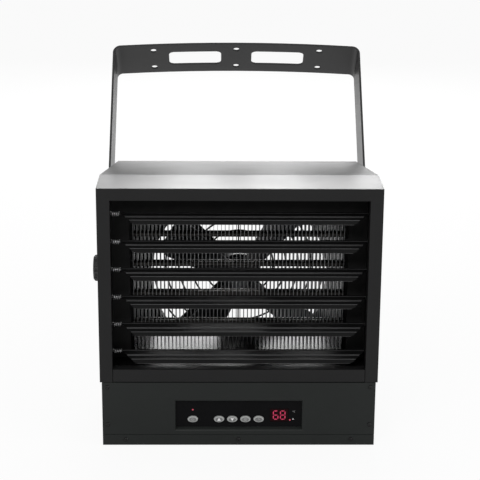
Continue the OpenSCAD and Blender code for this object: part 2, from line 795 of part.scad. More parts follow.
// Circuit board with a small switch behind each button.
module control_board() color([0.1, 0.3, 0.15]) {
    block(-window_x - 2, window_x + 2, board_d, board_d + 1.6, window_z0 - 2, window_z1 + 2);
    for (x = button_x) {
        block(x - 3, x + 3, board_d - 3.2, board_d, button_z - 3, button_z + 3);
        along_y(x, button_z, 1.7, board_d - 3.9, board_d - 3.2);
    }
    block(-40, 20, board_d + 1.6, board_d + 12, window_z - 8, window_z + 12);
}

// An oval key: a cap with a raised middle, a collar behind the panel and a stem.
module key(x) color([0.62, 0.63, 0.62]) {
    oval_at(x, -1.3, recess_d - 2.6, recess_d - 2);
    oval_at(x, 0, recess_d - 2, recess_d + panel_t + button_travel + gap);
    oval_at(x, 1.2, recess_d + panel_t + gap, recess_d + panel_t + gap + 1);
    along_y(x, button_z, 1.7, recess_d + panel_t + gap, board_d - 3.9 - button_travel - 0.1);
}

module button_power() key(button_x[0]);
module button_up() key(button_x[1]);
module button_down() key(button_x[2]);
module button_mode() key(button_x[3]);
module button_timer() key(button_x[4]);

// ---- inside the control box ----

terminal_x = -150;                         // left end of the terminal block
terminal_n = 4;                            // poles of the block
terminal_pitch = 15.5;
terminal_wall = 2;
terminal_d = [60, 86];                     // front and rear of the block
terminal_z = 14;                           // height of its floor

module terminal_block() color([0.15, 0.15, 0.16]) {
    block(terminal_x, terminal_x + terminal_n * terminal_pitch + terminal_wall,
          terminal_d[0], terminal_d[1], sheet, terminal_z);
    for (n = [0 : terminal_n]) let (x = terminal_x + n * terminal_pitch)
        block(x, x + terminal_wall, terminal_d[0], terminal_d[1], terminal_z, terminal_z + 10);
    for (n = [0 : terminal_n - 1])
        translate([terminal_x + terminal_wall / 2 + (n + 0.5) * terminal_pitch,
                   front + (terminal_d[0] + terminal_d[1]) / 2, terminal_z])
            cylinder(r = 4, h = 4);
}

contactor_x = -40;                         // middle of the contactor
contactor_d = [50, 116];
contactor_z = 32;                          // top of its base, where the clamps are
contactor_top = 60;

module contactor() color([0.2, 0.2, 0.22]) {
    block(contactor_x - 26, contactor_x + 26, contactor_d[0], contactor_d[1], sheet, contactor_z);
    block(contactor_x - 20, contactor_x + 20, contactor_d[0] + 12, contactor_d[1] - 12,
          contactor_z, contactor_top);
    for (x = [-18, 0, 18], d = [contactor_d[0] + 6, contactor_d[1] - 6])
        translate([contactor_x + x, front + d, contactor_z]) cylinder(r = 3.5, h = 5);
}

transformer_x = 54;                        // middle of the transformer
core_d = [62, 80];                         // front and rear of its iron core
core_z = [3, 43];                          // bottom and top of the core
coil_over = 16;                            // how far the winding stands out behind the core

module transformer() color([0.35, 0.33, 0.3]) {
    block(transformer_x - 30, transformer_x + 30, core_d[0] - 2, core_d[1] + 24, sheet, core_z[0]);
    block(transformer_x - 24, transformer_x + 24, core_d[0], core_d[1], core_z[0], core_z[1]);
    for (d = [[core_d[1], core_d[1] + coil_over], [core_d[0] - 12, core_d[0]]])
        block(transformer_x - 18, transformer_x + 18, d[0], d[1], core_z[0] + 5, core_z[1] - 5);
}

// ---- bracket ----

// At the pivot: X across, Y across the strip, Z along the arms.
module at_pivot() translate([0, front + pivot_d, pivot_z]) rotate([-lean, 0, 0]) children();

// The bracket's outline from the front, drawn in by "in": two arms, two bends and the arched bar.
module bracket_outline(in) {
    bend_x = arm_out - bend_r;
    bar_y = bracket_l + strip_t + crossbar_rise - bar_r;   // centre of the arch
    bend_y = bar_y + sqrt(pow(bar_r - bend_r, 2) - bend_x * bend_x);
    touch_x = bend_x * bar_r / (bar_r - bend_r);
    intersection() {
        translate([0, bar_y]) circle(r = bar_r - in, $fn = 1440);
        translate([-touch_x, bend_y]) square([2 * touch_x, bend_r * 2]);
    }
    for (s = [-1, 1]) translate([s * bend_x, bend_y]) circle(r = bend_r - in, $fn = 64);
    translate([-arm_out + in, -strip_w]) square([2 * (arm_out - in), bend_y + strip_w]);
}

module bracket() color(black)
    at_pivot() difference() {
        intersection() {
            rotate([90, 0, 0]) translate([0, 0, -strip_w / 2]) linear_extrude(strip_w)
                difference() {
                    bracket_outline(0);
                    bracket_outline(strip_t);
                }
            // the arms' lower ends are round
            rotate([0, 90, 0]) translate([0, 0, -case_w]) linear_extrude(2 * case_w)
                union() {
                    circle(r = strip_w / 2, $fn = 96);
                    translate([-2 * bracket_l, -strip_w / 2]) square([2 * bracket_l, strip_w]);
                }
        }
        rotate([0, 90, 0]) translate([0, 0, -case_w]) cylinder(r = stud_r + fit, h = 2 * case_w);
        for (x = [-hole_x, 0, hole_x], y = [-1, 1])
            translate([x, y * hole_gap / 2, bracket_l - 40]) cylinder(r = hole_dia / 2, h = 80);
        for (s = [-1, 1]) translate([s * slot_x, 0, bracket_l - 40]) linear_extrude(80) slot();
    }

// A long slot with rounded corners.
module slot() {
    r = 6.5;
    square([slot_l - 2 * r, slot_w], center = true);
    square([slot_l, slot_w - 2 * r], center = true);
    for (x = [-1, 1], y = [-1, 1])
        translate([x * (slot_l / 2 - r), y * (slot_w / 2 - r)]) circle(r = r);
}

boss_end = arm_in - washer_t - 0.1;        // outer face of each boss

// Threaded bosses welded in the cabinet's sides, with a flange outside.
module pivot_bosses() color(dark_steel)
    for (s = [-1, 1])
        difference() {
            union() {
                difference() {
                    along_x(s > 0 ? half_w - 20 : -boss_end, s > 0 ? boss_end : 20 - half_w,
                            pivot_d, pivot_z, boss_r);
                    hood(0, sheet, case_d, split_z);
                }
                along_x(s > 0 ? half_w - 18 : -boss_end, s > 0 ? boss_end : 18 - half_w, pivot_d, pivot_z,
                        boss_neck_r - fit);
            }
            along_x(-case_w, case_w, pivot_d, pivot_z, stud_r + fit);
        }

// A flat washer on each side of each arm.
module friction_washers() color([0.2, 0.2, 0.2])
    for (x = [arm_in - washer_t, arm_out], s = [-1, 1])
        difference() {
            along_x(s > 0 ? x : -x - washer_t, s > 0 ? x + washer_t : -x, pivot_d, pivot_z, 14);
            along_x(-case_w, case_w, pivot_d, pivot_z, stud_r + fit);
        }

knob_base = arm_out + washer_t + 0.1;
knob_neck = 4;

// Round grip knob on its stud. Local Z points away from the cabinet.
module knob() {
    difference() {
        union() {
            cylinder(r = knob_r * 0.6, h = knob_neck + 1);
            translate([0, 0, knob_neck]) rotate_extrude()
                polygon([[0, 0], [knob_r - 1, 0], [knob_r, 1], [knob_r, knob_h - 2.5], [knob_r - 2.5, knob_h],
                         [knob_r * 0.5, knob_h], [knob_r * 0.42, knob_h - 1], [0, knob_h - 1]]);
        }
        for (n = [0 : knob_lobes - 1])
            rotate([0, 0, n * 360 / knob_lobes]) translate([knob_r + 1.4, 0, knob_neck - 1])
                cylinder(r = 2.8, h = knob_h + 3, $fn = 32);
        translate([0, 0, -1]) cylinder(r = stud_r, h = knob_neck + knob_h - 4);
    }
}
module at_knob(s) translate([s * knob_base, front + pivot_d, pivot_z]) rotate([0, s * 90, 0]) children();
module knob_stud(s) {
    end = knob_base + knob_neck + knob_h - 5;
    along_x(s > 0 ? half_w - 16 : -end, s > 0 ? end : 16 - half_w, pivot_d, pivot_z, stud_r);
}

module knob_left() color([0.07, 0.07, 0.07]) at_knob(-1) knob();
module knob_right() color([0.07, 0.07, 0.07]) at_knob(1) knob();
module knob_stud_left() color(steel) knob_stud(-1);
module knob_stud_right() color(steel) knob_stud(1);

// ---- screws ----

// Pan-head screw with a cross recess. The head's underside is at Z = 0, the shank below it.
module screw(l) difference() {
    union() {
        rotate_extrude() polygon([[0, 0], [head_r, 0], [head_r, head_h * 0.45], [head_r * 0.75, head_h * 0.9],
                                  [0, head_h]]);
        translate([0, 0, -l]) cylinder(r = screw_r - 0.1, h = l);
    }
    for (a = [0, 90]) rotate([0, 0, a]) translate([-1.6, -0.35, 1]) cube([3.2, 0.7, 2]);
}

// Screws seen from the front.
module front_screw(x, z, d) translate([x, front + d, z]) rotate([90, 0, 0]) screw(6);

// A place on the side panel at a depth, with local Z pointing straight out of the sheet.
module on_side(s, d, z) {
    turn = d > front_d ? atan(taper_per_d) : 0;
    translate([s * half_at(d), front + d, z]) rotate([0, s * 90, 0]) rotate([-turn, 0, 0]) children();
}

module panel_screws() color(dark_steel) for (p = panel_screw_at) front_screw(p[0], p[1], 0);
module tray_screws() color(dark_steel) for (x = tray_screw_x) front_screw(x, tray_screw_z, 0);
module side_screws() color(dark_steel)
    for (s = [-1, 1], d = side_screw_d) on_side(s, d, side_screw_z) screw(5);
module guard_screws() color(dark_steel)
    for (a = clip_at)
        translate([fan_x + clip_r * cos(a), front + case_d + clip_t, fan_z + clip_r * sin(a)])
            rotate([-90, 0, 0]) screw(7);

cabinet();
lower_sides();
bottom_tray();
front_bezel();
sill();
rear_panel();
louvre_rail_left();
louvre_rail_right();
louvre_springs();
for (i = [1 : louvre_n]) {
    louvre(i);
    louvre_rod(i);
}
duct_surround();
control_box_deck();
element_fins();
element_tubes();
thermal_cutout();
fan_ring();
fan_blades();
fan_hub();
motor_shaft();
fan_motor();
motor_mount();
fan_guard();
guard_clips();
control_panel();
display_panel();
digit_display();
control_board();
indicator_leds();
button_power();
button_up();
button_down();
button_mode();
button_timer();
terminal_block();
contactor();
transformer();
cable_gland();
gland_nut();
pivot_bosses();
bracket();
friction_washers();
knob_left();
knob_right();
knob_stud_left();
knob_stud_right();
panel_screws();
tray_screws();
side_screws();
guard_screws();
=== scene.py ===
"""Looks for a ceiling mounted fan heater: finishes, rounded edges, the lit display and the stage."""

import json
import math

import bmesh
import bpy
from mathutils import Matrix, Vector


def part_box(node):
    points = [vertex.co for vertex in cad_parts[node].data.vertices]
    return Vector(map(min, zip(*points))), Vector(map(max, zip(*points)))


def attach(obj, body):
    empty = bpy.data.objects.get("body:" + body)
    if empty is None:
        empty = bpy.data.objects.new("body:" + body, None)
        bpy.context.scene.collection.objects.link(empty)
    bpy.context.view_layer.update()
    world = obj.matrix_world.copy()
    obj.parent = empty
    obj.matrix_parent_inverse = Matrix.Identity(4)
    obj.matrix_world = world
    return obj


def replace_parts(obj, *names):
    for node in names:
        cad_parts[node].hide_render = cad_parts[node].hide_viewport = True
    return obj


bl_info = {
    "name": "Ceiling Fan Heater",
    "version": (1, 0, 0),
    "blender": (4, 5, 0),
    "location": "View3D > Sidebar > Heater",
    "description": "Finishes a sheet-metal fan heater and sets it on a pale stage",
    "category": "Object",
}

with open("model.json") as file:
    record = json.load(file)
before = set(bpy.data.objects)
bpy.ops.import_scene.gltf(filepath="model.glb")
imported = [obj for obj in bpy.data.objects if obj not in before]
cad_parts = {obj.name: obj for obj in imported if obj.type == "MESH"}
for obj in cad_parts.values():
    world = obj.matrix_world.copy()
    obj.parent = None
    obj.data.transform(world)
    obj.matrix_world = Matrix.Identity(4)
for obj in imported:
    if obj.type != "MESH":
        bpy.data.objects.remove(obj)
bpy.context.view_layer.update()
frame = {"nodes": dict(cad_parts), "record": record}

MM = 0.001
BODY_OF = {node: body for body, nodes in frame["record"]["behaviour"]["bodies"].items() for node in nodes}
SLOT_OF = {part["node"]: part["material_slot"] for part in frame["record"]["subparts"]}
LOUVRES = [f"louvre_{i}" for i in range(1, 7)]
RODS = [f"louvre_rod_{i}" for i in range(1, 7)]
BUTTONS = ["button_power", "button_up", "button_down", "button_mode", "button_timer"]

SHORTEST_EDGE = 0.5 * MM  # shorter edges stay sharp
WELD = 0.002 * MM  # vertices this near are one
SMALL_FACE = 300 * MM * MM  # a face under this area is small
SMALL_TURN = math.radians(40)  # a small face and its neighbour shade into each other up to this angle
LARGE_TURN = math.radians(4)  # and two large ones up to this
RIM_SEGMENTS = 5

KEY_HEIGHT = 0.83  # of the CAD keys' height
PANEL_EDGE = 5 * MM  # how far the display panel reaches behind the window's rim
WINDOW_SLOPE = 3 * MM  # how far the window's lower side drops to the front
FOOT_DEPTH = 2 * MM  # how far back from the panel's front the window's lower side lies
FOOT_ROUND = 1.6 * MM  # how far below that side its corners reach
SLACK = 0.1 * MM  # a vertex this near to a face is on it


# ---- settings ----


class HeaterPaint(bpy.types.PropertyGroup):
    """Colours and grain of the painted sheet metal."""

    case_color: bpy.props.FloatVectorProperty(
        name="Case", description="Powder coat of the case", subtype="COLOR", size=3,
        default=(0.0105, 0.0105, 0.0107))
    panel_color: bpy.props.FloatVectorProperty(
        name="Panel", description="Powder coat of the control panel", subtype="COLOR", size=3,
        default=(0.0142, 0.0162, 0.0153))
    bracket_color: bpy.props.FloatVectorProperty(
        name="Bracket", description="Powder coat of the bracket", subtype="COLOR", size=3,
        default=(0.034, 0.034, 0.0345))
    # painted highlight: a paint about ten times lighter than the case, put on the louvres' rounded edges
    # to stand in for the light they catch
    edge_highlight_color: bpy.props.FloatVectorProperty(
        name="Edges", description="Painted highlight on the louvres' rounded edges", subtype="COLOR", size=3,
        default=(0.1, 0.1, 0.102))
    inner_color: bpy.props.FloatVectorProperty(
        name="Inside", description="Dull paint behind the louvres", subtype="COLOR", size=3,
        default=(0.006, 0.006, 0.006))
    roughness: bpy.props.FloatProperty(
        name="Roughness", description="Roughness of the powder coat", subtype="FACTOR", min=0, max=1,
        default=0.38)
    grain: bpy.props.FloatProperty(
        name="Grain", description="Size of one grain of the powder coat", unit="LENGTH",
        default=0.9 * MM)


class HeaterMetal(bpy.types.PropertyGroup):
    """Colours of the bare metal and the plastics."""

    fin_color: bpy.props.FloatVectorProperty(
        name="Fins", description="Heat-dulled fin sheet", subtype="COLOR", size=3,
        default=(0.36, 0.365, 0.37))
    spring_color: bpy.props.FloatVectorProperty(
        name="Springs", description="Bright spring wire", subtype="COLOR", size=3,
        default=(0.8, 0.8, 0.8))
    button_color: bpy.props.FloatVectorProperty(
        name="Buttons", description="Light grey keys", subtype="COLOR", size=3,
        default=(0.4, 0.41, 0.4))
    plastic_color: bpy.props.FloatVectorProperty(
        name="Plastic", description="Moulded black plastic", subtype="COLOR", size=3,
        default=(0.014, 0.014, 0.014))


class HeaterDisplay(bpy.types.PropertyGroup):
    """The lit number on the control panel."""

    number: bpy.props.IntProperty(
        name="Number", description="Two digits shown", min=0, max=99, default=68)
    lit_color: bpy.props.FloatVectorProperty(
        name="Lit", description="Colour of a lit segment", subtype="COLOR", size=3,
        default=(0.5, 0.03, 0.09))
    glow: bpy.props.FloatProperty(
        name="Glow", description="Strength of a lit segment", min=0, default=0.34)
    digit_height: bpy.props.FloatProperty(
        name="Digit height", description="Height of a digit", unit="LENGTH", default=11.8 * MM)
    bar_width: bpy.props.FloatProperty(
        name="Bar width", description="Width of one segment", unit="LENGTH", default=1.6 * MM)
    mark_color: bpy.props.FloatVectorProperty(
        name="Marks", description="Pale print on the keys", subtype="COLOR", size=3,
        default=(0.8, 0.8, 0.8))
    inlay_color: bpy.props.FloatVectorProperty(
        name="Inlay", description="Darker ring and sign on a key", subtype="COLOR", size=3,
        default=(0.17, 0.17, 0.17))


class HeaterEdges(bpy.types.PropertyGroup):
    """How far sharp edges are rounded."""

    sheet: bpy.props.FloatProperty(
        name="Sheet", description="Rounding of painted sheet edges", unit="LENGTH",
        default=0.45 * MM)
    louvre: bpy.props.FloatProperty(
        name="Louvres", description="Rounding of the louvres' edges and folds", unit="LENGTH",
        default=0.38 * MM)
    strip: bpy.props.FloatProperty(
        name="Bracket", description="Rounding of the bracket's edges", unit="LENGTH", default=0.6 * MM)
    rim: bpy.props.FloatProperty(
        name="Window", description="Rounding of the display window's rim", unit="LENGTH",
        default=2.4 * MM)
    small: bpy.props.FloatProperty(
        name="Small parts", description="Rounding of knobs and keys", unit="LENGTH", default=0.3 * MM)


class HeaterStage(bpy.types.PropertyGroup):
    """Camera, lamps and floor."""

    camera_place: bpy.props.FloatVectorProperty(
        name="Camera", description="Place of the camera", subtype="TRANSLATION", unit="LENGTH", size=3,
        default=(-0.0306, -1.989, 0.8488))
    yaw: bpy.props.FloatProperty(
        name="Yaw", description="Turn to the right", subtype="ANGLE", default=0.01657)
    pitch: bpy.props.FloatProperty(
        name="Pitch", description="Tilt down", subtype="ANGLE", default=0.2941)
    roll: bpy.props.FloatProperty(
        name="Roll", description="Roll to the left", subtype="ANGLE", default=0.0067)
    lens: bpy.props.FloatProperty(
        name="Lens", description="Focal length in millimetres", default=113.0)
    world_level: bpy.props.FloatProperty(
        name="World", description="Soft light all round", min=0, default=0.5)
    mirror_level: bpy.props.FloatProperty(
        name="Mirror", description="How bright the studio is in reflections", min=0, default=0.35)
    key_power: bpy.props.FloatProperty(name="Key", description="Front lamp", min=0, default=32)
    fill_power: bpy.props.FloatProperty(name="Fill", description="Side lamp", min=0, default=16)
    back_power: bpy.props.FloatProperty(
        name="Back", description="Low softbox behind the heater", min=0, default=32)


# ---- finishes ----


class Finish:
    """A material on object coordinates: one shader, with noise that varies it."""

    def __init__(self, name, color, roughness, metallic=0.0, specular=0.5):
        self.material = bpy.data.materials.new(name)
        self.material.use_nodes = True
        self.nodes = self.material.node_tree.nodes
        self.links = self.material.node_tree.links
        self.shader = self.nodes["Principled BSDF"]
        self.color = color
        self.place = self.nodes.new("ShaderNodeTexCoord").outputs["Object"]
        self.set("Base Color", (*color, 1))
        self.set("Roughness", roughness)
        self.set("Metallic", metallic)
        self.set("Specular IOR Level", specular)

    def set(self, socket, value):
        """Sets a constant on the shader's own socket."""
        self.shader.inputs[socket].default_value = value
        return self

    def noise(self, size, detail=2.0, stretch=(1, 1, 1)):
        """Noise whose features are about "size" across, in metres, stretched along an axis."""
        mapping = self.nodes.new("ShaderNodeMapping")
        mapping.inputs["Scale"].default_value = [1 / s for s in stretch]
        texture = self.nodes.new("ShaderNodeTexNoise")
        texture.inputs["Scale"].default_value = 1 / size
        texture.inputs["Detail"].default_value = detail
        self.links.new(self.place, mapping.inputs["Vector"])
        self.links.new(mapping.outputs["Vector"], texture.inputs["Vector"])
        return texture.outputs["Fac"]

    def spread(self, factor, low, high):
        """Noise stretched to a range of values."""
        node = self.nodes.new("ShaderNodeMapRange")
        node.inputs["From Min"].default_value = 0.3
        node.inputs["From Max"].default_value = 0.7
        node.inputs["To Min"].default_value = low
        node.inputs["To Max"].default_value = high
        self.links.new(factor, node.inputs["Value"])
        return node.outputs["Result"]

    def mottle(self, factor, amount):
        """Lightens and darkens the colour by a share."""
        mix = self.nodes.new("ShaderNodeMix")
        mix.data_type = "RGBA"
        mix.inputs["A"].default_value = (*[c * (1 - amount) for c in self.color], 1)
        mix.inputs["B"].default_value = (*[c * (1 + amount) for c in self.color], 1)
        self.links.new(self.spread(factor, 0, 1), mix.inputs["Factor"])
        self.links.new(mix.outputs["Result"], self.shader.inputs["Base Color"])

    def smear(self, factor, low, high):
        """Varies the roughness."""
        self.links.new(self.spread(factor, low, high), self.shader.inputs["Roughness"])

    def bump(self, height, depth, strength):
        """Raises the surface by "depth" metres."""
        node = self.nodes.new("ShaderNodeBump")
        node.inputs["Strength"].default_value = strength
        node.inputs["Distance"].default_value = depth
        self.links.new(height, node.inputs["Height"])
        self.links.new(node.outputs["Normal"], self.shader.inputs["Normal"])


def powder_coat(name, color, roughness, grain, specular=0.24):
    """Satin powder coat: fine orange peel, faint clouding and a few smoother patches."""
    finish = Finish(name, color, roughness, specular=specular)
    finish.mottle(finish.noise(60 * MM, 3), 0.06)
    finish.smear(finish.noise(40 * MM, 4), roughness - 0.01, roughness + 0.015)
    finish.bump(finish.noise(grain, 1.5), 0.012 * MM, 0.3)
    return finish.material


def dull_paint(name, color):
    """Flat, dusty paint that the air has baked."""
    finish = Finish(name, color, 0.6, specular=0.2)
    finish.mottle(finish.noise(18 * MM, 3), 0.3)
    finish.bump(finish.noise(1.5 * MM), 0.02 * MM, 0.4)
    return finish.material


def drawn_metal(name, color, roughness, along):
    """Metal with fine draw lines along one axis."""
    finish = Finish(name, color, roughness, metallic=1.0)
    finish.mottle(finish.noise(8 * MM, 3), 0.15)
    finish.smear(finish.noise(0.4 * MM, 2, along), roughness - 0.08, roughness + 0.1)
    finish.bump(finish.noise(0.3 * MM, 2, along), 0.01 * MM, 0.3)
    return finish.material


def moulded_plastic(name, color, roughness):
    """Plastic with a faint moulding texture."""
    finish = Finish(name, color, roughness)
    finish.mottle(finish.noise(12 * MM, 2), 0.06)
    finish.smear(finish.noise(5 * MM, 3), roughness - 0.04, roughness + 0.06)
    finish.bump(finish.noise(0.25 * MM, 2), 0.01 * MM, 0.3)
    return finish.material


def gloss_panel(name, color):
    """Smooth dark film over the display, with a few dull patches."""
    finish = Finish(name, color, 0.12, specular=0.09)
    finish.mottle(finish.noise(30 * MM), 0.1)
    finish.smear(finish.noise(14 * MM, 4), 0.09, 0.2)
    finish.bump(finish.noise(20 * MM, 1), 0.02 * MM, 0.15)
    return finish.material


def lit(name, color, strength):
    """A lit lens, a little uneven across its face."""
    finish = Finish(name, color, 0.3)
    finish.mottle(finish.noise(1.2 * MM), 0.15)
    finish.set("Emission Color", (*color, 1)).set("Emission Strength", strength)
    finish.bump(finish.noise(0.3 * MM), 0.01 * MM, 0.2)
    return finish.material


def board_finish(name):
    """Green circuit board with a fine weave and darker tracks."""
    finish = Finish(name, (0.012, 0.09, 0.035), 0.4)
    finish.mottle(finish.noise(3 * MM, 1, (6, 1, 1)), 0.45)
    finish.bump(finish.noise(0.4 * MM), 0.02 * MM, 0.3)
    return finish.material


def core_finish(name):
    """Stacked core sheets under varnish."""
    finish = Finish(name, (0.05, 0.04, 0.03), 0.45, specular=0.4)
    finish.mottle(finish.noise(0.5 * MM, 1, (40, 1, 40)), 0.4)
    finish.bump(finish.noise(0.5 * MM, 1, (40, 1, 40)), 0.05 * MM, 0.5)
    return finish.material


FINISHES = {}


def make_finishes(scene):
    """All materials, one for each slot of the record."""
    paint, metal, display = scene.heater_paint, scene.heater_metal, scene.heater_display
    coat = (paint.roughness, paint.grain)
    across, along = (30, 1, 1), (1, 30, 1)
    FINISHES.update({
        "case_paint": powder_coat("case_coat", paint.case_color, *coat),
        "panel_paint": powder_coat("panel_coat", paint.panel_color, *coat),
        "louvre_paint": powder_coat("louvre_coat", paint.case_color, 0.5, paint.grain, 0.05),
        # painted highlight: a lighter, glossier coat for the louvres' rounded edges, standing in for the
        # light along them
        "painted_edge_highlight": powder_coat("painted_edge_highlight", paint.edge_highlight_color, 0.36, paint.grain, 0.5),
        "bracket_paint": powder_coat("bracket_coat", paint.bracket_color, *coat, 0.3),
        "inner_paint": dull_paint("inner_coat", paint.inner_color),
        "deck_paint": powder_coat("deck_coat", paint.inner_color, 0.24, paint.grain, 0.08),
        "zinc_steel": drawn_metal("zinc_plate", (0.5, 0.51, 0.53), 0.32, along),
        "dark_steel": drawn_metal("dark_zinc", (0.12, 0.12, 0.125), 0.36, across),
        "black_screw": powder_coat("black_screw", (0.004, 0.004, 0.004), 0.24, paint.grain, 0.5),
        "spring_steel": drawn_metal("spring_wire", metal.spring_color, 0.5, across),
        "fin_metal": drawn_metal("fin_sheet", metal.fin_color, 0.42, (1, 1, 30)),
        "tube_sheath": drawn_metal("tube_sheath", (0.09, 0.085, 0.08), 0.5, across),
        "fan_metal": drawn_metal("fan_sheet", (0.2, 0.2, 0.205), 0.45, across),
        "motor_shell": powder_coat("motor_enamel", (0.02, 0.02, 0.022), 0.4, paint.grain),
        "guard_wire": powder_coat("guard_coat", paint.case_color, 0.4, paint.grain),
        "display_glass": gloss_panel("display_gloss", (0.003, 0.003, 0.0035)),
        "digit_lens": gloss_panel("digit_window", (0.012, 0.0015, 0.002)),
        "led_lens": lit("red_lamp", (0.4, 0.05, 0.08), 0.4),
        "button_plastic": moulded_plastic("key_plastic", metal.button_color, 0.42),
        "board": board_finish("circuit_board"),
        "black_plastic": moulded_plastic("black_plastic", metal.plastic_color, 0.45),
        "pale_plastic": moulded_plastic("resin", (0.62, 0.58, 0.5), 0.5),
        "iron_core": core_finish("core_sheets"),
        "washer_fibre": moulded_plastic("washer_fibre", (0.02, 0.02, 0.02), 0.7),
        "lit_segment": lit("lit_segment", display.lit_color, display.glow),
        "dark_segment": gloss_panel("dark_segment", (0.02, 0.003, 0.005)),
        "printed_mark": moulded_plastic("printed_mark", display.mark_color, 0.5),
        "dim_mark": moulded_plastic("dim_mark", metal.button_color, 0.5),
        "key_inlay": moulded_plastic("key_inlay", display.inlay_color, 0.5),
        "white_lamp": lit("white_lamp", (0.6, 0.6, 0.62), 0.5),
    })


def coat(obj, finish):
    """Gives an object one of the finishes."""
    obj.data.materials.clear()
    obj.data.materials.append(FINISHES[finish])


def dress(*nodes):
    """Gives CAD nodes the finish of their slot."""
    for node in nodes:
        coat(frame["nodes"][node], SLOT_OF[node])


# ---- mesh helpers ----


def put(mesh, name, body, finish):
    """Turns a bmesh into a piece that rides on a body."""
    data = bpy.data.meshes.new(name)
    mesh.to_mesh(data)
    mesh.free()
    piece = bpy.data.objects.new(name, data)
    bpy.context.scene.collection.objects.link(piece)
    coat(piece, finish)
    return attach(piece, body)


def shade(mesh, limit=math.radians(32)):
    """Smooth shading, with a crease wherever two faces meet at more than the limit."""
    for face in mesh.faces:
        face.smooth = True
    for edge in mesh.edges:
        edge.smooth = edge.is_manifold and edge.calc_face_angle(0) < limit


def blends(one, other):
    """Whether two faces that meet shade into each other: two large ones don't at a fold."""
    angle = one.normal.angle(other.normal, 0)
    small = min(one.area, other.area) < SMALL_FACE
    return angle < (SMALL_TURN if small else LARGE_TURN)


def flatten(data):
    """Corner normals weighted by area, so that flats stay flat beside their rounded edges."""
    around = [[] for _ in data.vertices]
    for face in data.polygons:
        for vertex in face.vertices:
            around[vertex].append(face)
    normals = [None] * len(data.loops)
    for face in data.polygons:
        for corner in face.loop_indices:
            near = [f for f in around[data.loops[corner].vertex_index] if blends(face, f)]
            normals[corner] = sum((f.normal * f.area for f in near), Vector()).normalized()
    data.normals_split_custom_set(normals)


def merged(node, weld=WELD):
    """A copy of a CAD node's mesh with its triangles joined up."""
    mesh = bmesh.new()
    mesh.from_mesh(frame["nodes"][node].data)
    bmesh.ops.remove_doubles(mesh, verts=mesh.verts, dist=weld)
    bmesh.ops.dissolve_limit(mesh, angle_limit=math.radians(0.05), verts=mesh.verts, edges=mesh.edges)
    return mesh


def round_edges(mesh, edges, radius, segments, clamp=True):
    """Rounds edges and gives back the faces of the rounds."""
    return bmesh.ops.bevel(mesh, geom=edges, offset=radius, segments=segments, profile=0.5, affect="EDGES",
                           clamp_overlap=clamp, material=-1)["faces"]


def edged(node, radius, segments=2, limit=math.radians(38), weld=WELD, shortest=SHORTEST_EDGE,
          rim=None, lower=None, highlight_finish=None):
    """A copy of a CAD node with its sharp edges rounded, which takes the node's place; a further finish,
    if given, goes on the rounds as a painted highlight.

    One short edge would narrow every round, so those under "shortest" stay sharp.
    """
    mesh = merged(node, weld)
    if lower:
        lower(mesh)
    if rim:
        around = [e for e in mesh.edges if rim(e)]
        round_edges(mesh, around, bpy.context.scene.heater_edges.rim, RIM_SEGMENTS)
    sharp = [e for e in mesh.edges
             if e.is_manifold and e.calc_face_angle(0) > limit and e.calc_length() > shortest]
    rounds = round_edges(mesh, sharp, radius, segments, clamp=not highlight_finish)
    shade(mesh)
    mesh.faces.index_update()
    rounds = [face.index for face in rounds]
    piece = put(mesh, f"{node}_edged", BODY_OF[node], SLOT_OF[node])
    # the rounds get the second finish, a painted highlight
    if highlight_finish:
        piece.data.materials.append(FINISHES[highlight_finish])
        for index in rounds:
            piece.data.polygons[index].material_index = 1
    flatten(piece.data)
    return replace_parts(piece, node)


# ---- operators ----


class HEATER_OT_finishes(bpy.types.Operator):
    """Makes the materials"""

    bl_idname = "heater.finishes"
    bl_label = "Finishes"
    bl_options = {"REGISTER", "UNDO"}

    def execute(self, context):
        make_finishes(context.scene)
        return {"FINISHED"}


class HEATER_OT_case(bpy.types.Operator):
    """Rounds and paints the cabinet, its lower panels, the tray and the rear panel"""

    bl_idname = "heater.case"
    bl_label = "Case"
    bl_options = {"REGISTER", "UNDO"}

    def execute(self, context):
        for node in ("cabinet", "lower_sides", "bottom_tray", "rear_panel"):
            edged(node, context.scene.heater_edges.sheet)
        dress("pivot_bosses")
        return {"FINISHED"}


class HEATER_OT_front(bpy.types.Operator):
    """Rounds and paints the bezel, the sill and the louvre rails"""

    bl_idname = "heater.front"
    bl_label = "Front"
    bl_options = {"REGISTER", "UNDO"}

    def execute(self, context):
        for node in ("front_bezel", "sill", "louvre_rail_left", "louvre_rail_right"):
            edged(node, context.scene.heater_edges.sheet)
        return {"FINISHED"}


class HEATER_OT_louvres(bpy.types.Operator):
    """Rounds and paints the six louvres, with a painted highlight on their rounded edges, and finishes
    their rods and springs
    """

    bl_idname = "heater.louvres"
    bl_label = "Louvres"
    bl_options = {"REGISTER", "UNDO"}

    def execute(self, context):
        for node in LOUVRES:
            # the louvres' rounded edges get a painted highlight
            edged(node, context.scene.heater_edges.louvre, limit=math.radians(12), weld=0.1 * MM,
                  shortest=20 * MM, highlight_finish="painted_edge_highlight")
        dress("louvre_springs", *RODS)
        return {"FINISHED"}


class HEATER_OT_element(bpy.types.Operator):
    """Finishes the air duct, the heating fins, the tubes and the deck below them"""

    bl_idname = "heater.element"
    bl_label = "Heating element"
    bl_options = {"REGISTER", "UNDO"}

    def execute(self, context):
        dress("duct_surround", "element_fins", "element_tubes", "thermal_cutout")
        coat(frame["nodes"]["control_box_deck"], "deck_paint")
        return {"FINISHED"}


class HEATER_OT_fan(bpy.types.Operator):
    """Finishes the fan, its motor and the motor's arms"""

    bl_idname = "heater.fan"
    bl_label = "Fan"
    bl_options = {"REGISTER", "UNDO"}

    def execute(self, context):
        dress("fan_ring", "fan_blades", "fan_hub", "motor_shaft", "fan_motor", "motor_mount")
        return {"FINISHED"}


